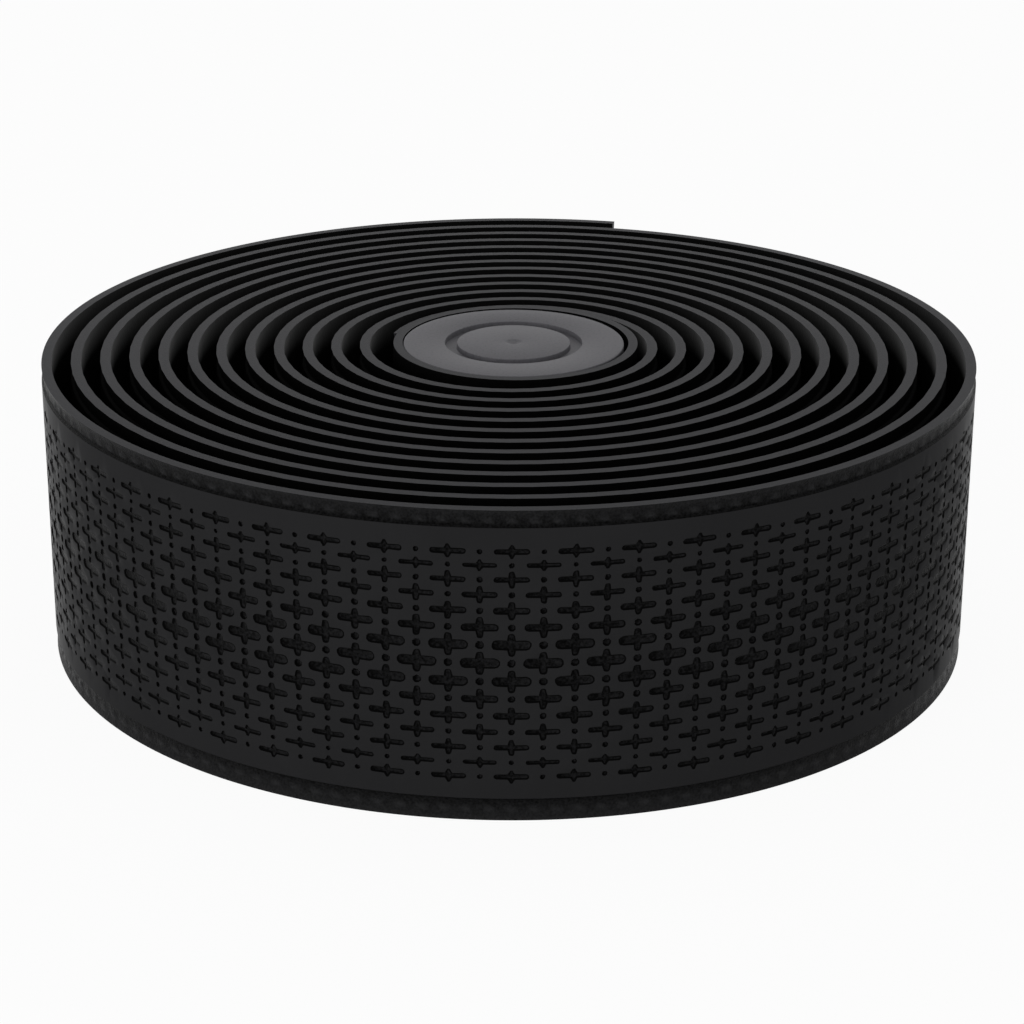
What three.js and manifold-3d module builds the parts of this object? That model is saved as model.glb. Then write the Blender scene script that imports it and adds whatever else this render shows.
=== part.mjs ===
// A roll of handlebar tape standing on its flat end, with the plug that closes the end of the
// handlebar packed in its core. Millimetres, +Z up, origin at the middle of the underside.

import * as THREE from 'three';
import { mergeVertices } from 'three/addons/utils/BufferGeometryUtils.js';
import Module from 'manifold-3d';

const wasm = await Module();
wasm.setup();

// Tape: a foam strip with a cushion along its middle and both margins pressed thin, so that one
// wrap can lie over the next on the bar. Its outer face is flat and its back carries the step.
const tapeWidth = 30;
const marginThickness = 1.05;
const cushionThickness = 2.3;
const marginWidth = 4;
const skiveWidth = 4;

// Winding, counted from the inner end outwards. Angles are in degrees, seen from above.
const turns = 12.243;
const turnGap = 0.62;
const innerEndAngle = 163.75;
const facetSag = 0.18;

// Grip pattern pressed into the outer face: rows of crosses, each row half a cell along from the
// next. The three boldest rows, which run along the middle of the cushion, are cut as pits.
const cellLength = 5.645;
const plainEnd = 6.72;
const crossLength = 3.55;
const crossHeight = 2.35;
const crossBar = 0.95;
const crossStem = 0.68;
const crossDepth = 0.55;
const rowSpacing = 1.78;
const rowMiddle = 0.52;
const boldRows = [-1, 0, 1];

// Core: the first turn is closed on itself round the plug, and the winding starts on its outside.
// The winding's own axis lies beside the loop's, because the lap makes one side thicker.
const loopWall = 1.04;
const lapStep = 0.42;
const loopShift = 0.95;
const loopFacets = 64;

// Plug: cap, and a hollow neck with ribs that grip the bore of the bar
const capRadius = 11.2;
const capThickness = 2;
const capEdge = 0.2;
const capClearance = 0.35;
const capDrift = new THREE.Vector2(-0.12, -0.09);
const neckRadius = 7.4;
const neckWall = 2.7;
const neckLength = 15;
const leadIn = 1.2;
const ribCount = 8;
const ribRadius = 10.2;
const ribThickness = 1.6;
const ribTaper = 4;
const plugFacets = 36;

// Mark moulded into the cap's face: a plain ring, with the dimple of the mould's gate inside it
const ringRadius = 6.4;
const ringWidth = 1.2;
const ringDepth = 0.6;
const dimpleRadius = 0.9;
const dimpleDepth = 0.3;

const windingPitch = cushionThickness + turnGap;
const loopBore = capRadius + capClearance;
const innerEndRadius = loopBore + loopWall + lapStep;
const outerEndRadius = innerEndRadius + turns * windingPitch;

const materials = {
  tape: new THREE.MeshStandardMaterial({ color: 0x2b2b2e, roughness: 0.8, metalness: 0 }),
  plug: new THREE.MeshStandardMaterial({ color: 0x606165, roughness: 0.6, metalness: 0 }),
};

// A closed geometry as a solid that can be joined and cut
function toSolid(geometry) {
  const bare = geometry.clone();
  bare.deleteAttribute('normal');
  bare.deleteAttribute('uv');
  const merged = mergeVertices(bare);
  return new wasm.Manifold(new wasm.Mesh({
    numProp: 3,
    vertProperties: merged.attributes.position.array,
    triVerts: Uint32Array.from(merged.index.array),
  }));
}

function toMesh(solid, name, material) {
  const { vertProperties, triVerts } = solid.getMesh();
  const indexed = new THREE.BufferGeometry();
  indexed.setAttribute('position', new THREE.BufferAttribute(vertProperties, 3));
  indexed.setIndex(new THREE.BufferAttribute(triVerts, 1));
  const geometry = indexed.toNonIndexed();
  geometry.computeVertexNormals();
  const mesh = new THREE.Mesh(geometry, material);
  mesh.name = name;
  return mesh;
}

// A round post standing on z = bottom
function post(radius, height, facets, bottom = 0) {
  const geometry = new THREE.CylinderGeometry(radius, radius, height, facets);
  return toSolid(geometry.rotateX(Math.PI / 2).translate(0, 0, bottom + height / 2));
}

// A point of the tape's outer face. angle is in degrees, and runs back from the loose end.
function windingPoint(angle) {
  const radius = outerEndRadius - windingPitch * angle / 360;
  const bearing = THREE.MathUtils.degToRad(innerEndAngle - 360 * turns + angle);
  return new THREE.Vector3(radius * Math.cos(bearing), radius * Math.sin(bearing), 0);
}

// The angle at a length along the outer face, measured back from the loose end
function angleAt(length) {
  const slope = windingPitch / (2 * Math.PI);
  const radians = (outerEndRadius - Math.sqrt(outerEndRadius ** 2 - 2 * slope * length)) / slope;
  return THREE.MathUtils.radToDeg(radians);
}

// The line of the tape's outer face, from the inner end to the loose end. On the outer turn a
// facet is as long as a cell of the pattern, and on the turns inside it every facet has one sag.
class WindingLine extends THREE.Curve {
  constructor() {
    super();
    const end = 360 * turns;
    this.angles = [0];
    for (let cell = 0; angleAt(plainEnd + cell * cellLength) < 360; cell += 1) {
      this.angles.push(angleAt(plainEnd + cell * cellLength));
    }
    let angle = this.angles.at(-1);
    while (angle < end) {
      const radius = windingPoint(angle).length();
      angle += THREE.MathUtils.radToDeg(Math.sqrt(8 * facetSag / radius));
      this.angles.push(Math.min(angle, end));
    }
    this.angles.reverse();
  }

  get steps() {
    return this.angles.length - 1;
  }

  getPoint(t, target = new THREE.Vector3()) {
    const place = t * this.steps;
    const step = Math.min(Math.floor(place), this.steps - 1);
    const angle = THREE.MathUtils.lerp(this.angles[step], this.angles[step + 1], place - step);
    return target.copy(windingPoint(angle));
  }

  getUtoTmapping(u) {
    return u;
  }
}

// The tape's section. The sweep lays x along -Z and y outwards, so the outer face is y = 0.
function tapeSection() {
  const top = -tapeWidth;
  const section = new THREE.Shape();
  section.moveTo(0, 0);
  section.lineTo(0, -marginThickness);
  section.lineTo(-marginWidth, -marginThickness);
  section.lineTo(-marginWidth - skiveWidth, -cushionThickness);
  section.lineTo(top + marginWidth + skiveWidth, -cushionThickness);
  section.lineTo(top + marginWidth, -marginThickness);
  section.lineTo(top, -marginThickness);
  section.lineTo(top, 0);
  section.closePath();
  return section;
}

// A cutter for one cross: a cross-shaped base outside the face, drawn in to a point at the pit's
// floor. Its outline has the stated size where it passes through the face, at x = 0.
function crossCutter() {
  const rise = crossDepth / 4;
  const spread = (1 + rise / crossDepth) / 2;
  const [arm, leg] = [crossLength * spread, crossHeight * spread];
  const [stem, bar] = [crossStem * spread, crossBar * spread];
  const quarter = [[arm, bar], [stem, bar], [stem, leg]];
  const outline = [
    ...quarter,
    ...quarter.map(([y, z]) => [-y, z]).reverse(),
    ...quarter.map(([y, z]) => [-y, -z]),
    ...quarter.map(([y, z]) => [y, -z]).reverse(),
  ].map(([y, z]) => new THREE.Vector2(y, z));
  const base = (point) => [rise, point.x, point.y];
  const faces = outline.flatMap((point, i) => {
    const next = outline[(i + 1) % outline.length];
    return [...base(next), ...base(point), -crossDepth, 0, 0];
  });
  for (const corners of THREE.ShapeUtils.triangulateShape(outline, [])) {
    faces.push(...corners.flatMap((corner) => base(outline[corner])));
  }
  const geometry = new THREE.BufferGeometry();
  geometry.setAttribute('position', new THREE.Float32BufferAttribute(faces, 3));
  return toSolid(geometry);
}

// The pits of the bold rows round the outer turn. Odd rows have their crosses in the middle of a
// facet, and the even row on the edge between two.
function gripPits() {
  const cutter = crossCutter();
  const pits = [];
  for (const row of boldRows) {
    const height = tapeWidth / 2 + rowMiddle + row * rowSpacing;
    const half = row % 2 === 0 ? 0 : cellLength / 2;
    for (let start = plainEnd; angleAt(start + cellLength) < 360; start += cellLength) {
      const middle = start + half;
      const face = windingPoint(angleAt(middle - half));
      face.lerp(windingPoint(angleAt(middle + half)), 0.5);
      const bearing = THREE.MathUtils.radToDeg(Math.atan2(face.y, face.x));
      pits.push(cutter.rotate([0, 0, bearing]).translate([face.x, face.y, height]));
    }
  }
  return wasm.Manifold.union(pits);
}

// The wound tape and its closed inner loop. The bore is cut last, so that the cushion doesn't
// stand into it where the inner end lies on the loop.
function tapeRoll() {
  const line = new WindingLine();
  const winding = toSolid(new THREE.ExtrudeGeometry(tapeSection(), {
    steps: line.steps,
    extrudePath: line,
    bevelEnabled: false,
  }));
  const loop = post(loopBore + loopWall, tapeWidth, loopFacets).translate([0, loopShift, 0]);
  const bore = post(loopBore, 2 * tapeWidth, loopFacets, -tapeWidth / 2).translate([0, loopShift, 0]);
  const roll = winding.add(loop).subtract(bore).subtract(gripPits());
  return toMesh(roll, 'tape_roll', materials.tape);
}

// Cap and hollow neck, turned from the ceiling of the neck's hollow round to the cap's face
function plugBody() {
  const top = tapeWidth;
  const underside = top - capThickness;
  const foot = underside - neckLength;
  const profile = new THREE.Path();
  profile.moveTo(0, underside);
  profile.lineTo(neckRadius - neckWall, underside);
  profile.lineTo(neckRadius - neckWall, foot);
  profile.lineTo(neckRadius - leadIn, foot);
  profile.lineTo(neckRadius, foot + leadIn);
  profile.lineTo(neckRadius, underside);
  profile.lineTo(capRadius, underside);
  profile.lineTo(capRadius, top - capEdge);
  profile.absarc(capRadius - capEdge, top - capEdge, capEdge, 0, Math.PI / 2);
  profile.lineTo(ringRadius + ringWidth / 2, top);
  profile.lineTo(ringRadius + ringWidth / 2, top - ringDepth);
  profile.lineTo(ringRadius - ringWidth / 2, top - ringDepth);
  profile.lineTo(ringRadius - ringWidth / 2, top);
  profile.lineTo(dimpleRadius, top);
  profile.lineTo(0, top - dimpleDepth);
  return toSolid(new THREE.LatheGeometry(profile.getPoints(2), plugFacets).rotateX(Math.PI / 2));
}

// One rib: a plate from inside the neck's wall out to the grip, tapered at its foot
function plugRib() {
  const top = tapeWidth - capThickness / 2;
  const foot = tapeWidth - capThickness - neckLength + leadIn;
  const root = neckRadius - neckWall / 2;
  const side = new THREE.Shape();
  side.moveTo(root, foot);
  side.lineTo(neckRadius, foot);
  side.lineTo(ribRadius, foot + ribTaper);
  side.lineTo(ribRadius, top);
  side.lineTo(root, top);
  side.closePath();
  const plate = new THREE.ExtrudeGeometry(side, { depth: ribThickness, bevelEnabled: false });
  return toSolid(plate.translate(0, 0, -ribThickness / 2).rotateX(Math.PI / 2));
}

function barEndPlug() {
  const rib = plugRib();
  let plug = plugBody();
  for (let i = 0; i < ribCount; i += 1) {
    plug = plug.add(rib.rotate([0, 0, 360 * i / ribCount]));
  }
  const mesh = toMesh(plug, 'bar_end_plug', materials.plug);
  mesh.position.set(capDrift.x, loopShift + capDrift.y, 0);
  return mesh;
}

const roll = new THREE.Group();
roll.add(tapeRoll(), barEndPlug());
const middle = new THREE.Box3().setFromObject(roll).getCenter(new THREE.Vector3());
roll.position.set(-middle.x, -middle.y, 0);
roll.updateMatrixWorld(true);

export default roll;
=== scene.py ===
"""A roll of handlebar tape standing on its flat end, with the plug that closes the end of the
handlebar packed in its core. Metres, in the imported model's frame; sizes are in millimetres."""

import math

import bmesh
import bpy
from mathutils import Matrix, Vector, noise


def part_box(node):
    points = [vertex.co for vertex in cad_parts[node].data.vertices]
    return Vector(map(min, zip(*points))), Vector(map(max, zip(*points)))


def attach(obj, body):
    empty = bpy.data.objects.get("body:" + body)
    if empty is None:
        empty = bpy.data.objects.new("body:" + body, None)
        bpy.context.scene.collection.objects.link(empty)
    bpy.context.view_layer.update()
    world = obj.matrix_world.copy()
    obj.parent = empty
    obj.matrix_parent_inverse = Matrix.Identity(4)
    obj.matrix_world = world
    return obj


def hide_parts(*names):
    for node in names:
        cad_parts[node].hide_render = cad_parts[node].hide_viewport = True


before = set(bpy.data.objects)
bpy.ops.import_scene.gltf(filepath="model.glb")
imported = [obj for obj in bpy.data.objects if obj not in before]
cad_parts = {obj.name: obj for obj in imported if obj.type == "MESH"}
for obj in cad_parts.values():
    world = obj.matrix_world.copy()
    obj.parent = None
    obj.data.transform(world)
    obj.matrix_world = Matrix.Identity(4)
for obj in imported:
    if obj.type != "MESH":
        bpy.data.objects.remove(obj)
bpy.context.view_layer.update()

# Camera
# A lens of about 100 mm looks down on the front of the roll from above its top edge. Its place is
# measured from the axis of the winding, which runs a little in front of the plug's own axis.
MM = 0.001
plug_low, plug_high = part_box("bar_end_plug")
plug_axis = Vector((plug_low.x + plug_high.x, plug_low.y + plug_high.y, 0)) / 2
plug_drift = Vector((-0.12, -0.09, 0)) * MM
loop_shift = Vector((0, 0.95, 0)) * MM
loop_axis = plug_axis - plug_drift
winding_axis = loop_axis - loop_shift
camera_lens = 100.27
camera_place = Vector((0, -277.49, 118.90)) * MM
camera_pitch = 21.13
camera_yaw = 0.064
camera_roll = 0.165

lens = bpy.data.cameras.new("camera")
lens.lens = camera_lens
camera = bpy.data.objects.new("camera", lens)
bpy.context.scene.collection.objects.link(camera)
bpy.context.scene.camera = camera
camera.matrix_world = (
    Matrix.Translation(winding_axis + camera_place)
    @ Matrix.Rotation(math.radians(camera_yaw), 4, "Z")
    @ Matrix.Rotation(math.radians(90 - camera_pitch), 4, "X")
    @ Matrix.Rotation(math.radians(camera_roll), 4, "Z")
)

# Grip pattern of the tape
# The tape is a foam strip with a skin. Its face is pressed between rollers into rows of crosses
# and round holes, each row half a cell along from the next, and the boldest rows in the middle.
# One cell is laid flat here: x runs along the tape, y out of its face and z up its width.
tape_low, tape_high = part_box("tape_roll")
tape_width = (tape_high.z - tape_low.z) / MM
cell_length = 5.645
skin_low = 2.2
skin_high = 28.37
rows = range(-7, 8)
row_middle = 15.52
row_spacing = 1.8
row_tightening = {-1: 0.03, 0: 0, 1: 0.04}
# From the middle row outwards: length and bar of a cross, height of its stem, the stem's width at
# its tips and at the bar, and the width of a hole
cross_sizes = [
    (3.62, 1.00, 2.22, 0.68, 0.82, 0.82),
    (3.60, 0.98, 2.20, 0.66, 0.80, 0.82),
    (3.38, 0.74, 2.02, 0.62, 0.76, 0.73),
    (3.34, 0.66, 1.74, 0.60, 0.72, 0.67),
    (3.22, 0.55, 1.66, 0.54, 0.68, 0.60),
    (3.22, 0.54, 1.58, 0.50, 0.65, 0.58),
    (3.10, 0.44, 1.10, 0.36, 0.64, 0.50),
    (3.22, 0.55, 1.32, 0.36, 0.66, 0.53),
]
# The walls of the pits slope, and their floors fall away to the left, where the studs of the press
# lean. At that end a pit is deeper, and its floor is painted darker as the shadow of its left wall.
cross_slope = 0.14
cross_depth = 0.11
hole_slope = 0.12
hole_depth = 0.17
stud_lean = 0.35
# How the tip of a stem is rounded: points across and below it, in shares of half its width
tip_round = [(1, 0.8), (0.8, 0.25), (0.35, 0)]
hole_corners = 8
# The seam between two cells keeps this far from the crosses' and the holes' middles, and passes
# each row upright for this far above and below it
seam_past_cross = 2.1
seam_past_hole = 0.7
seam_upright = 0.45
edge_steps = 16
# The finishes that the tape's faces have, in the order of its materials
SKIN, WALL, PIT, BAND, EDGE, SKIVE, BACK = range(7)


def row_height(row):
    side = (row > 0) - (row < 0)
    return row_middle + row_spacing * row - side * row_tightening[side] * row * row


def cross_outline(length, bar, height, tip, root, inset):
    """A bar with round ends, crossed by an upright stem that narrows to its round tips"""
    half_bar = bar / 2 - inset
    reach = length / 2 - inset
    top = height / 2 - inset
    tip = tip / 2 - inset
    root = root / 2 - inset
    end = [
        (reach - half_bar + half_bar * math.cos(angle), half_bar * math.sin(angle))
        for angle in (math.radians(degrees) for degrees in range(-90, 91, 36))
    ]
    side = [(root, half_bar)] + [(across * tip, top - down * tip) for across, down in tip_round]
    half = end + side + [(-x, z) for x, z in reversed(side)]
    return half + [(-x, -z) for x, z in half]


def hole_outline(width, inset):
    radius = width / 2 - inset
    corners = [math.radians(360 * (i + 0.5) / hole_corners) for i in range(hole_corners)]
    return [(radius * math.cos(corner), radius * math.sin(corner)) for corner in corners]


def ring(mesh, points):
    verts = [mesh.verts.new(point) for point in points]
    return [mesh.edges.new(pair) for pair in zip(verts, verts[1:] + verts[:1])]


def press_pit(mesh, rim, floor, depth, x, z):
    """Walls and floor of one pit. Returns the edges of its rim, which the skin is filled up to."""
    reach = max(a for a, _ in floor)
    upper = ring(mesh, [(x + a, 0, z + b) for a, b in rim])
    lower = ring(mesh, [(x + a, -depth * (1 - stud_lean * a / reach), z + b) for a, b in floor])
    # Painted shade: the floor grows paler from its left end to its right, for the shadow of its left wall
    for vert in {vert for edge in lower for vert in edge.verts}:
        vert[shade] = (vert.co.x - x) / reach
    walls = bmesh.ops.bridge_loops(mesh, edges=upper + lower)["faces"]
    for wall in walls:
        wall.material_index = WALL
    bottom = bmesh.ops.edgeloop_fill(mesh, edges=lower, mat_nr=PIT)["faces"]
    bmesh.ops.triangulate(mesh, faces=bottom)
    return upper


def seam(x):
    """The zigzag line between two cells, which runs clear of the crosses and holes"""
    points = [(x + seam_past_cross, skin_low)]
    for row in rows:
        side = seam_past_cross if row % 2 else seam_past_hole
        points.append((x + side, row_height(row) - seam_upright))
        points.append((x + side, row_height(row) + seam_upright))
    return points + [(x + seam_past_cross, skin_high)]


def fill_skin(mesh, left, right, rims=()):
    """The skin between two lines that run up the tape, less the pits in it"""
    outline = list(right)
    for i in range(1, edge_steps):
        outline.append((right[-1][0] + (left[-1][0] - right[-1][0]) * i / edge_steps, skin_high))
    outline += reversed(left)
    for i in range(1, edge_steps):
        outline.append((left[0][0] + (right[0][0] - left[0][0]) * i / edge_steps, skin_low))
    edges = ring(mesh, [(x, 0, z) for x, z in outline])
    bmesh.ops.triangle_fill(mesh, edges=edges + list(rims), use_beauty=True, normal=(0, 1, 0))


strip = bmesh.new()
# How pale a vertex of a pit's floor or of the bare edges is, for the materials. It carries painted
# shade at the left ends of the pits' floors and on the bare edges along the skin, and the knobs' paleness.
shade = strip.verts.layers.float.new("shade")
# The first column of the pattern stands this far from the loose end
first_column = 9.54
rims = []
for row in rows:
    *cross, hole = cross_sizes[abs(row)]
    columns = (first_column, first_column - cell_length / 2)
    cross_x, hole_x = columns if row % 2 else reversed(columns)
    height = row_height(row)
    outlines = cross_outline(*cross, 0), cross_outline(*cross, cross_slope)
    rims += press_pit(strip, *outlines, cross_depth, cross_x, height)
    outlines = hole_outline(hole, 0), hole_outline(hole, hole_slope)
    rims += press_pit(strip, *outlines, hole_depth, hole_x, height)
fill_skin(strip, seam(first_column - cell_length), seam(first_column), rims)

# Outer turn of the tape
# The cells follow each other round the outer turn, from a plain stretch at the loose end to a
# little past the place where the next turn goes under it. Both edges of the face are left as bare
# foam, a little lower than the skin, and the back is skived so that the margins are thin.
cells = 52
past_cells = 2
margin_thickness = 1.05
cushion_thickness = 2.3
margin_width = 4
skive_width = 4
edge_recess = 0.25
edge_rise = 0.2
low_ledge = 0.2
high_ledge = 0.22
# Heights of the lines along the bare edges, between which their knobs are shaped
low_lines = (0.55, 1.05, 1.5)
high_lines = (28.9, 29.35)
bmesh.ops.spin(
    strip,
    geom=strip.verts[:] + strip.edges[:] + strip.faces[:],
    dvec=(cell_length, 0, 0),
    angle=0,
    steps=cells - 1,
    use_duplicate=True,
)
plain_start = first_column + cells * cell_length
inner_start = plain_start + past_cells
fill_skin(strip, [(0, skin_low), (0, skin_high)], seam(first_column - cell_length))
fill_skin(strip, seam(plain_start - cell_length), [(inner_start, skin_low), (inner_start, skin_high)])
bmesh.ops.remove_doubles(strip, verts=strip.verts, dist=0.005)
back = tape_width - margin_width
# Each point of the section: how far out and how high it lies, and the finish of the face up to it
section = [
    (0, skin_high, SKIN),
    (-edge_recess, skin_high + high_ledge, BAND),
    *[(-edge_recess, line, BAND) for line in high_lines],
    (-edge_recess + edge_rise, tape_width, BAND),
    (-margin_thickness, tape_width, EDGE),
    (-margin_thickness, back, SKIVE),
    (-cushion_thickness, back - skive_width, BACK),
    (-cushion_thickness, margin_width + skive_width, BACK),
    (-margin_thickness, margin_width, BACK),
    (-margin_thickness, 0, SKIVE),
    (-edge_recess + edge_rise, 0, EDGE),
    *[(-edge_recess, line, BAND) for line in low_lines],
    (-edge_recess, skin_low - low_ledge, BAND),
    (0, skin_low, BAND),
]


def grow(mesh, edges, step, finish):
    """Draws a run of edges out by one step, and returns the run at its new place"""
    grown = bmesh.ops.extrude_edge_only(mesh, edges=edges)["geom"]
    verts = [item for item in grown if isinstance(item, bmesh.types.BMVert)]
    bmesh.ops.translate(mesh, verts=verts, vec=step)
    for face in grown:
        if isinstance(face, bmesh.types.BMFace):
            face.material_index = finish
    return [item for item in grown if isinstance(item, bmesh.types.BMEdge)]


def edges_along(mesh, axis, place):
    """Open edges that lie where the coordinate on that axis has one value"""
    return [
        edge
        for edge in mesh.edges
        if edge.is_boundary and all(abs(vert.co[axis] - place) < 0.003 for vert in edge.verts)
    ]


run = edges_along(strip, 2, skin_high)
for (y, z, _), (next_y, next_z, finish) in zip(section, section[1:]):
    run = grow(strip, run, (0, next_y - y, next_z - z), finish)
bmesh.ops.remove_doubles(strip, verts=strip.verts, dist=0.005)

# Inner turns of the tape
# The rest of the strip is swept on to its inner end. It shows only its upper edge, and so has no
# pattern. Its steps are laid flat one to the millimetre, and get their real length in winding.
turns = 12.243
turn_gap = 0.6075
inner_end_angle = 163.75
loop_bore = 11.55
loop_wall = 0.93
lap_step = 0.68
inner_steps = 720
winding_pitch = cushion_thickness + turn_gap
slope = winding_pitch / (2 * math.pi)
inner_radius = loop_bore + loop_wall + lap_step
outer_radius = inner_radius + turns * winding_pitch
loose_end = math.radians(inner_end_angle - 360 * turns)


def is_flat(face):
    """Whether the face is part of the tape's upper or lower edge"""
    heights = [vert.co.z for vert in face.verts]
    return max(heights) - min(heights) < 0.001


inner = bmesh.new()
ring(inner, [(inner_start, y, z) for y, z, _ in section])
swept = bmesh.ops.spin(
    inner, geom=inner.verts[:] + inner.edges[:], dvec=(1, 0, 0), angle=0, steps=inner_steps
)
# Painted shade: all faces of the inner turns but their cut edges and skived margins, their skin and bare
# foam too, get the black of the raw foam, for the dark gaps
for face in inner.faces:
    on_margin = all(abs(vert.co.y + margin_thickness) < 0.001 for vert in face.verts)
    face.material_index = EDGE if is_flat(face) else SKIVE if on_margin else BACK
last = [item for item in swept["geom_last"] if isinstance(item, bmesh.types.BMEdge)]
bmesh.ops.edgeloop_fill(inner, edges=last, mat_nr=EDGE)


def join(mesh, other):
    """Puts a copy of another mesh into this one"""
    data = bpy.data.meshes.new("joined")
    other.to_mesh(data)
    other.free()
    mesh.from_mesh(data)
    bpy.data.meshes.remove(data)


join(strip, inner)
bmesh.ops.edgeloop_fill(strip, edges=edges_along(strip, 0, 0), mat_nr=EDGE)
bmesh.ops.remove_doubles(strip, verts=strip.verts, dist=0.005)

# Winding
# The strip is wound round the closed first turn, which it is pressed against where it starts. The
# pits come out of the press a little uneven, and the bare foam of the edges keeps the marks of
# the rollers that drew the tape through: a row of low smooth knobs.
knob_pitch = 2.05
knob_size = (0.62, 0.38)
knob_height = 0.12
knob_rows = (0.95, 29.0)
bare_width = 1.6
# How strongly painted shade darkens the bare foam towards the skin
corner_shade_ramp = 0.45
knob_paleness = 0.6
ripple_depth = 0.05
ripples_per_mm = 1.9
pit_wander = 0.06
pit_wander_length = 0.5
loop_place = (loop_axis - winding_axis) / MM
loop_outside = loop_bore + loop_wall


def face_radius(x):
    """Radius of the tape's face at a place along the flat strip. The steps of the inner turns get
    shorter as the turns do, so that every one of them bends by as little to the eye."""
    if x < inner_start:
        return math.sqrt(outer_radius**2 - 2 * slope * x)
    share = (x - inner_start) / inner_steps
    start = (outer_radius**2 - 2 * slope * inner_start) ** 0.75
    return (start + (inner_radius**1.5 - start) * share) ** (2 / 3)


def knob(x, z):
    """How far a place on the bare edge belongs to a knob, from 0 to 1"""
    along = (x + knob_pitch / 2) % knob_pitch - knob_pitch / 2
    across = min(abs(z - row) for row in knob_rows)
    return max(1 - (along / knob_size[0]) ** 2 - (across / knob_size[1]) ** 2, 0)


def face_outwards(mesh):
    """Turns the faces of a closed shell so that all of them look out of it"""
    bmesh.ops.recalc_face_normals(mesh, faces=mesh.faces)
    if mesh.calc_volume(signed=True) < 0:
        bmesh.ops.reverse_faces(mesh, faces=mesh.faces)


for vert in strip.verts:
    x, y, z = vert.co
    finishes = {face.material_index for face in vert.link_faces}
    if PIT in finishes or finishes == {SKIN, WALL} and skin_low < z < skin_high:
        seed = vert.co / pit_wander_length
        x += pit_wander * noise.noise(seed)
        z += pit_wander * noise.noise(seed + Vector((0, 50, 0)))
    elif BAND in finishes:
        # Painted shade: the bare foam is darkest in the corner along the skin and paler towards the cut
        # edge
        off_skin = max(z - skin_high, skin_low - z) / bare_width
        vert[shade] = corner_shade_ramp * off_skin + knob_paleness * knob(x, z)
        y += knob_height * knob(x, z)
        if finishes == {BAND}:
            y += ripple_depth * noise.noise(vert.co * ripples_per_mm)
    radius = face_radius(x)
    bearing = loose_end + (outer_radius - radius) / slope
    place = Vector((math.cos(bearing), math.sin(bearing), 0)) * (radius + y)
    off_loop = place - loop_place
    if off_loop.length < loop_outside:
        place = loop_place + off_loop.normalized() * loop_outside
    vert.co = winding_axis + (place + Vector((0, 0, z))) * MM
face_outwards(strip)

# Closed first turn
# The tape's start is glued down on itself as a loop, round which the rest is wound.
loop_steps = 96
loop = bmesh.new()
corners = [(loop_bore, 0), (loop_outside, 0), (loop_outside, tape_width), (loop_bore, tape_width)]
ring(loop, [(x, 0, z) for x, z in corners])
bmesh.ops.spin(
    loop,
    geom=loop.verts[:] + loop.edges[:],
    axis=(0, 0, 1),
    angle=2 * math.pi,
    steps=loop_steps,
    use_merge=True,
)
# Painted shade: the loop's faces, down in the dark core, get the black of the raw foam
for face in loop.faces:
    face.material_index = EDGE if is_flat(face) else BACK
bmesh.ops.scale(loop, verts=loop.verts, vec=(MM, MM, MM))
bmesh.ops.translate(loop, verts=loop.verts, vec=loop_axis)
face_outwards(loop)
join(strip, loop)

# Finish of the tape
# The whole tape is black polyurethane foam, and its faces differ by how they were made: the skin is
# pressed, the pits are crushed, the edges are cut, and the backs of the margins are skived. Painted
# shade darkens the pits, the bare foam along the skin and the inner turns, and fades the margins' sheen.
sharp_angle = math.radians(35)


def linear(colour):
    """An sRGB hex colour as the linear values that Blender's sockets take"""
    parts = [int(colour[i : i + 2], 16) / 255 for i in (1, 3, 5)]
    return [c / 12.92 if c <= 0.04045 else ((c + 0.055) / 1.055) ** 2.4 for c in parts] + [1]


def add(tree, kind, inputs=None, **settings):
    """Adds a node with its settings, and its inputs as values or as links from other nodes. Sockets
    that share a name go by number: 6 and 7 are the colours of a Mix, 2 and 3 its plain numbers, and
    1 to 4 the ends of the two ranges of a MapRange."""
    node = tree.nodes.new("ShaderNode" + kind)
    for name, value in settings.items():
        setattr(node, name, value)
    for name, value in (inputs or {}).items():
        if isinstance(value, bpy.types.NodeSocket):
            tree.links.new(value, node.inputs[name])
        else:
            node.inputs[name].default_value = value
    return node


def new_material(name):
    """An empty material, and the node tree to fill"""
    material = bpy.data.materials.new(name)
    material.use_nodes = True
    material.node_tree.nodes.clear()
    return material, material.node_tree


# Polyurethane skin, pressed on foam by a heated roller: matt, and even but for faint clouds. It
# only shines where it is seen nearly edge on.
skin_grain = 0.25 * MM
skin_cloud = 10 * MM
dark, pale = linear("#262627"), linear("#2b2b2c")
skin, tree = new_material("pressed_polyurethane_skin")
place = add(tree, "TexCoord").outputs["Object"]
grain = add(tree, "TexNoise", {"Vector": place, "Scale": 1 / skin_grain, "Detail": 2.0})
clouds = add(tree, "TexNoise", {"Vector": place, "Scale": 1 / skin_cloud, "Detail": 3.0})
tone = add(tree, "Mix", {0: clouds.outputs["Fac"], 6: dark, 7: pale}, data_type="RGBA")
bump = add(tree, "Bump", {"Height": grain.outputs["Fac"], "Strength": 0.12, "Distance": 0.04 * MM})
shader = add(tree, "BsdfPrincipled", {
    "Base Color": tone.outputs[2],
    "Normal": bump.outputs["Normal"],
    "Roughness": 0.3,
    "Specular IOR Level": 0.0045,
})
add(tree, "OutputMaterial", {"Surface": shader.outputs["BSDF"]})

# The wall of a pit, where the press has melted the skin down into the foam: smooth, and black partly
# as painted shade in the pit, with a faint bloom where it is seen edge on
wall, tree = new_material("melted_rim_and_pit_shade")
shader = add(tree, "BsdfPrincipled", {
    "Base Color": linear("#080808"),
    "Roughness": 0.3,
    "Specular IOR Level": 0.0045,
    "Sheen Weight": 0.06,
    "Sheen Roughness": 0.35,
})
add(tree, "OutputMaterial", {"Surface": shader.outputs["BSDF"]})
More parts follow.
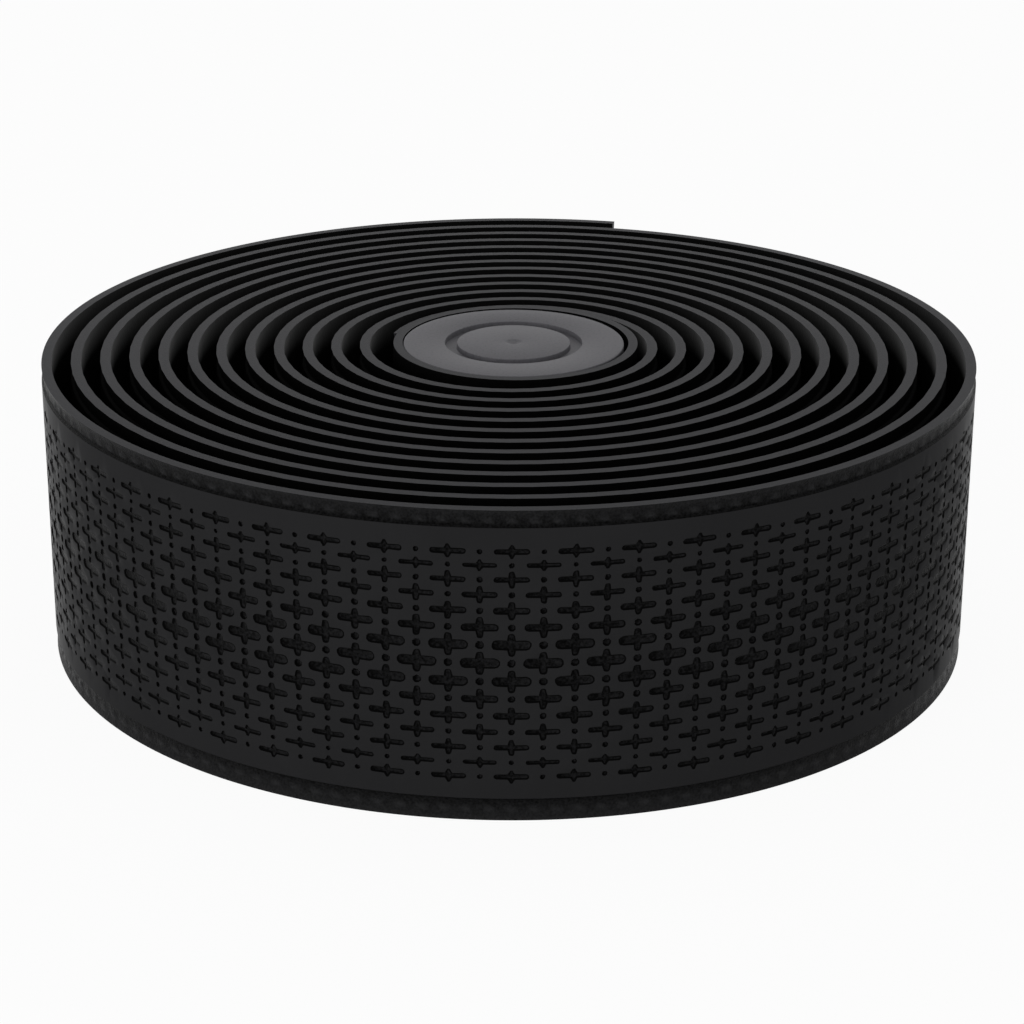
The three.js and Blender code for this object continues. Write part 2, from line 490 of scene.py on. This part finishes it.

# The floor of a pit, foam crushed by the press: dark, partly as painted shade in the pit, and darkest
# at its left end as the painted shadow of its left wall, with paler specks of broken cells, whose torn
# edges catch the light
speck_size = 0.28 * MM
# How strongly the painted shadow of the left wall darkens the left end of a pit's floor
pit_shade_share = 0.3
dark, pale = linear("#050505"), linear("#1f1f20")
pit, tree = new_material("crushed_foam_and_pit_shade")
place = add(tree, "TexCoord").outputs["Object"]
specks = add(tree, "TexNoise", {"Vector": place, "Scale": 1 / speck_size, "Detail": 3.0, "Roughness": 0.65})
specks = add(tree, "MapRange", {"Value": specks.outputs["Fac"], 1: 0.3, 2: 0.7, 3: -0.2, 4: 1.0})
# Painted shade: the floor's shade attribute darkens its left end, and the specks are added to it
paleness = add(tree, "Attribute", attribute_name="shade").outputs["Fac"]
paleness = add(tree, "Math", {0: paleness, 1: pit_shade_share, 2: specks.outputs[0]}, operation="MULTIPLY_ADD")
tone = add(tree, "Mix", {0: paleness.outputs[0], 6: dark, 7: pale}, data_type="RGBA")
bump = add(tree, "Bump", {"Height": specks.outputs[0], "Strength": 0.3, "Distance": 0.1 * MM})
shader = add(tree, "BsdfPrincipled", {
    "Base Color": tone.outputs[2],
    "Normal": bump.outputs["Normal"],
    "Roughness": 0.3,
    "Specular IOR Level": 0.01,
    "Sheen Weight": 0.11,
    "Sheen Roughness": 0.35,
})
add(tree, "OutputMaterial", {"Surface": shader.outputs["BSDF"]})

# Bare foam beside the skin, combed by the rollers: grainy, and pale on its knobs. Painted shade
# makes it darkest in the corner along the skin, growing paler towards the cut edge.
comb_grain = 0.25 * MM
dark, pale = linear("#080808"), linear("#2a2a2b")
foam_gloss = {"Roughness": 0.3, "Specular IOR Level": 0.018}
band, tree = new_material("combed_foam_and_corner_shade")
place = add(tree, "TexCoord").outputs["Object"]
grain = add(tree, "TexNoise", {"Vector": place, "Scale": 1 / comb_grain, "Detail": 3.0, "Roughness": 0.65})
grain = add(tree, "MapRange", {"Value": grain.outputs["Fac"], 1: 0.3, 2: 0.7, 3: -0.15, 4: 0.4})
paleness = add(tree, "Attribute", attribute_name="shade").outputs["Fac"]
paleness = add(tree, "Math", {0: paleness, 1: grain.outputs[0]}, operation="ADD")
tone = add(tree, "Mix", {0: paleness.outputs[0], 6: dark, 7: pale}, data_type="RGBA")
bump = add(tree, "Bump", {"Height": grain.outputs[0], "Strength": 0.6, "Distance": 0.12 * MM})
shader = add(tree, "BsdfPrincipled", {
    "Base Color": tone.outputs[2],
    "Normal": bump.outputs["Normal"],
    **foam_gloss,
})
add(tree, "OutputMaterial", {"Surface": shader.outputs["BSDF"]})

# The edges of the tape, slit with a blade: foam cells sliced open, so a fine even grain
cut_grain = 0.2 * MM
dark, pale = linear("#28282a"), linear("#333336")
edge, tree = new_material("cut_foam")
place = add(tree, "TexCoord").outputs["Object"]
grain = add(tree, "TexNoise", {"Vector": place, "Scale": 1 / cut_grain, "Detail": 3.0, "Roughness": 0.6})
tone = add(tree, "Mix", {0: grain.outputs["Fac"], 6: dark, 7: pale}, data_type="RGBA")
bump = add(tree, "Bump", {"Height": grain.outputs["Fac"], "Strength": 0.3, "Distance": 0.06 * MM})
shader = add(tree, "BsdfPrincipled", {
    "Base Color": tone.outputs[2],
    "Normal": bump.outputs["Normal"],
    **foam_gloss,
})
add(tree, "OutputMaterial", {"Surface": shader.outputs["BSDF"]})

# The backs of the margins, skived with a blade: black foam with a fuzz of torn cells, which catches
# the light where it is seen edge on. Its sheen fades out below the tape's edges as painted shade,
# for the darkness deeper in the gaps between the turns.
skive_grain = 0.3 * MM
# The sheen fades out over this depth below each edge of the tape, as painted shade for the gaps
sheen_shade_depth = 2.6
fuzz_sheen = 0.24
dark, pale = linear("#060606"), linear("#101010")
skived, tree = new_material("skived_foam")
place = add(tree, "TexCoord").outputs["Object"]
grain = add(tree, "TexNoise", {"Vector": place, "Scale": 1 / skive_grain, "Detail": 3.0})
tone = add(tree, "Mix", {0: grain.outputs["Fac"], 6: dark, 7: pale}, data_type="RGBA")
bump = add(tree, "Bump", {"Height": grain.outputs["Fac"], "Strength": 0.2, "Distance": 0.1 * MM})
# Painted shade: the sheen weight falls from its full value at each edge of the tape to none at this depth
height = add(tree, "SeparateXYZ", {0: place}).outputs["Z"]
off_middle = add(tree, "Math", {0: height, 1: tape_width / 2 * MM}, operation="SUBTRACT")
off_middle = add(tree, "Math", {0: off_middle.outputs[0]}, operation="ABSOLUTE")
shaded_sheen = add(tree, "MapRange", {
    "Value": off_middle.outputs[0],
    1: (tape_width / 2 - sheen_shade_depth) * MM,
    2: tape_width / 2 * MM,
    3: 0,
    4: fuzz_sheen,
})
shader = add(tree, "BsdfPrincipled", {
    "Base Color": tone.outputs[2],
    "Normal": bump.outputs["Normal"],
    "Roughness": 0.6,
    "Specular IOR Level": 0.005,
    "Sheen Weight": shaded_sheen.outputs[0],
    "Sheen Roughness": 0.4,
})
add(tree, "OutputMaterial", {"Surface": shader.outputs["BSDF"]})

# The back of the cushion, raw foam as it comes out of the mould: black. The same black is painted
# shade on the turns' hidden faces, whose skin and bare edges lie in the dark gaps between the turns.
raw_grain = 0.5 * MM
dark, pale = linear("#050505"), linear("#0c0c0c")
back_and_gap_shade, tree = new_material("raw_foam_and_gap_shade")
place = add(tree, "TexCoord").outputs["Object"]
grain = add(tree, "TexNoise", {"Vector": place, "Scale": 1 / raw_grain, "Detail": 3.0})
tone = add(tree, "Mix", {0: grain.outputs["Fac"], 6: dark, 7: pale}, data_type="RGBA")
bump = add(tree, "Bump", {"Height": grain.outputs["Fac"], "Strength": 0.2, "Distance": 0.1 * MM})
shader = add(tree, "BsdfPrincipled", {
    "Base Color": tone.outputs[2],
    "Normal": bump.outputs["Normal"],
    "Roughness": 0.6,
    "Specular IOR Level": 0.005,
})
add(tree, "OutputMaterial", {"Surface": shader.outputs["BSDF"]})


def finish_piece(mesh, name, materials):
    """Turns the mesh into an object at the origin, smooth but for its sharp edges"""
    for face in mesh.faces:
        face.smooth = True
    for edge in mesh.edges:
        edge.smooth = edge.calc_face_angle(0) < sharp_angle
    data = bpy.data.meshes.new(name)
    mesh.to_mesh(data)
    mesh.free()
    for material in materials:
        data.materials.append(material)
    piece = bpy.data.objects.new(name, data)
    bpy.context.scene.collection.objects.link(piece)
    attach(piece, "root")
    return piece


tape = finish_piece(strip, "wound_tape", [skin, wall, pit, band, edge, skived, back_and_gap_shade])
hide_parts("tape_roll")

# Bar end plug
# The plug is one injection moulding: a cap with a hollow neck and eight ribs that grip the bore of
# the bar. It stands loose in the core, with its cap level with the edge of the tape.
cap_radius = 11.28
cap_thickness = 2
cap_edge = 0.16
neck_radius = 7.4
neck_wall = 2.7
neck_length = 15
lead_in = 1.2
rib_count = 8
rib_radius = 10.2
rib_thickness = 1.6
rib_taper = 4
ring_radius = 6.4
ring_width = 1.2
ring_depth = 0.6
dimple_radius = 0.9
dimple_depth = 0.3
plug_steps = 96
plug_shift = Vector((-0.08, -0.04, 0)) * MM
edge_softness = 0.12
top = plug_high.z / MM
underside = top - cap_thickness
foot = underside - neck_length
groove_out = ring_radius + ring_width / 2
groove_in = ring_radius - ring_width / 2
profile = [
    (0, underside),
    (neck_radius - neck_wall, underside),
    (neck_radius - neck_wall, foot),
    (neck_radius - lead_in, foot),
    (neck_radius, foot + lead_in),
    (neck_radius, underside),
    (cap_radius, underside),
    (cap_radius, top),
    (groove_out, top),
    (groove_out, top - ring_depth),
    (groove_in, top - ring_depth),
    (groove_in, top),
    (dimple_radius, top),
    (0, top - dimple_depth),
]
plug = bmesh.new()
corners = [plug.verts.new((x, 0, z)) for x, z in profile]
for pair in zip(corners, corners[1:]):
    plug.edges.new(pair)
# The rim of the cap is rounded more than the other edges, which the mould leaves just short of sharp
cap_rim = [corners[7]]
other_edges = corners[1:7] + corners[8:13]
for verts, offset, segments in ((cap_rim, cap_edge, 5), (other_edges, edge_softness, 2)):
    bmesh.ops.bevel(
        plug, geom=verts, offset=offset, segments=segments, profile=0.5, affect="VERTICES", material=-1
    )
bmesh.ops.spin(
    plug,
    geom=plug.verts[:] + plug.edges[:],
    axis=(0, 0, 1),
    angle=2 * math.pi,
    steps=plug_steps,
    use_merge=True,
)
bmesh.ops.remove_doubles(plug, verts=plug.verts, dist=0.001)
face_outwards(plug)
rib_side = [
    (neck_radius - neck_wall / 2, foot + lead_in),
    (neck_radius, foot + lead_in),
    (rib_radius, foot + lead_in + rib_taper),
    (rib_radius, underside + cap_thickness / 2),
    (neck_radius - neck_wall / 2, underside + cap_thickness / 2),
]
for i in range(rib_count):
    edges = ring(plug, [(x, -rib_thickness / 2, z) for x, z in rib_side])
    face = bmesh.ops.edgeloop_fill(plug, edges=edges)["faces"]
    plate = bmesh.ops.extrude_face_region(plug, geom=face, use_keep_orig=True)["geom"]
    far_side = [item for item in plate if isinstance(item, bmesh.types.BMVert)]
    bmesh.ops.translate(plug, verts=far_side, vec=(0, rib_thickness, 0))
    verts = far_side + [vert for edge in edges for vert in edge.verts]
    turn = Matrix.Rotation(2 * math.pi * i / rib_count, 3, "Z")
    bmesh.ops.rotate(plug, verts=list(set(verts)), matrix=turn)
    rib_faces = list({face for vert in verts for face in vert.link_faces})
    bmesh.ops.recalc_face_normals(plug, faces=rib_faces)
bmesh.ops.scale(plug, verts=plug.verts, vec=(MM, MM, MM))
bmesh.ops.translate(plug, verts=plug.verts, vec=plug_axis + plug_shift)

# Polypropylene, moulded in a spark-eroded tool: satin, with an even fine grain
plug_grain = 0.3 * MM
dark, pale = linear("#4a494d"), linear("#525155")
plastic, tree = new_material("moulded_polypropylene")
place = add(tree, "TexCoord").outputs["Object"]
grain = add(tree, "TexNoise", {"Vector": place, "Scale": 1 / plug_grain, "Detail": 2.0})
specks = add(tree, "MapRange", {"Value": grain.outputs["Fac"], 1: 0.35, 2: 0.5})
tone = add(tree, "Mix", {0: specks.outputs[0], 6: dark, 7: pale}, data_type="RGBA")
bump = add(tree, "Bump", {"Height": grain.outputs["Fac"], "Strength": 0.2, "Distance": 0.04 * MM})
shader = add(tree, "BsdfPrincipled", {
    "Base Color": tone.outputs[2],
    "Roughness": 0.5,
    "Specular IOR Level": 0.2,
    "Normal": bump.outputs["Normal"],
})
add(tree, "OutputMaterial", {"Surface": shader.outputs["BSDF"]})

plug_piece = finish_piece(plug, "moulded_plug", [plastic])
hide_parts("bar_end_plug")

# Table
# A white sheet lies under the roll. It keeps a faint shadow, and otherwise shows as bright as the
# wall behind it.
table_reach = 1.5
shadow_share = 0.06
sheet = bmesh.new()
bmesh.ops.create_grid(sheet, x_segments=2, y_segments=2, size=table_reach)
sheet_data = bpy.data.meshes.new("table")
sheet.to_mesh(sheet_data)
sheet.free()
table = bpy.data.objects.new("table", sheet_data)
bpy.context.scene.collection.objects.link(table)
paper, tree = new_material("white_paper")
rays = add(tree, "LightPath").outputs
matt = add(tree, "BsdfDiffuse", {"Color": linear("#f4f4f4")})
bright = add(tree, "Emission", {"Color": [1, 1, 1, 1], "Strength": 1.0})
seen = add(tree, "Math", {0: rays["Is Camera Ray"], 1: rays["Is Glossy Ray"]}, operation="MAXIMUM")
seen = add(tree, "Math", {0: seen.outputs[0], 1: rays["Is Transmission Ray"]}, operation="MAXIMUM")
share = add(tree, "Math", {0: seen.outputs[0], 1: 1 - shadow_share}, operation="MULTIPLY")
surface = add(tree, "MixShader", {0: share.outputs[0], 1: matt.outputs[0], 2: bright.outputs[0]})
add(tree, "OutputMaterial", {"Surface": surface.outputs[0]})
sheet_data.materials.append(paper)

# Light
# A broad soft lamp hangs over the roll and a smaller one stands to the left of the camera. The
# room is white, and shows as such to the eye and in reflections.
zenith_light = 0.2
horizon_light = 1.1
world = bpy.data.worlds.new("room")
bpy.context.scene.world = world
world.use_nodes = True
tree = world.node_tree
tree.nodes.clear()
rays = add(tree, "LightPath").outputs
seen = add(tree, "Math", {0: rays["Is Camera Ray"], 1: rays["Is Glossy Ray"]}, operation="MAXIMUM")
seen = add(tree, "Math", {0: seen.outputs[0], 1: rays["Is Transmission Ray"]}, operation="MAXIMUM")
direction = add(tree, "SeparateXYZ", {0: add(tree, "TexCoord").outputs["Generated"]})
glow = add(tree, "MapRange", {"Value": direction.outputs["Z"], 3: horizon_light, 4: zenith_light})
level = add(tree, "Mix", {0: seen.outputs[0], 2: glow.outputs[0], 3: 1.0}, data_type="FLOAT")
backdrop = add(tree, "Background", {"Color": [1, 1, 1, 1], "Strength": level.outputs[0]})
add(tree, "OutputWorld", {"Surface": backdrop.outputs[0]})

# Each lamp: name, place, size and watts
lamps = [
    ("overhead", (0.0, 0.10, 0.70), 0.6, 0.6),
    ("left_fill", (-0.60, -0.55, 0.25), 0.4, 1.5),
]
for name, place, size, power in lamps:
    lamp = bpy.data.lights.new(name, "AREA")
    lamp.size = size
    lamp.energy = power
    holder = bpy.data.objects.new(name, lamp)
    bpy.context.scene.collection.objects.link(holder)
    aim = Vector((0, 0, tape_width / 2 * MM)) - Vector(place)
    holder.location = place
    holder.rotation_euler = aim.to_track_quat("-Z", "Y").to_euler()

bpy.context.scene.view_settings.view_transform = "Standard"
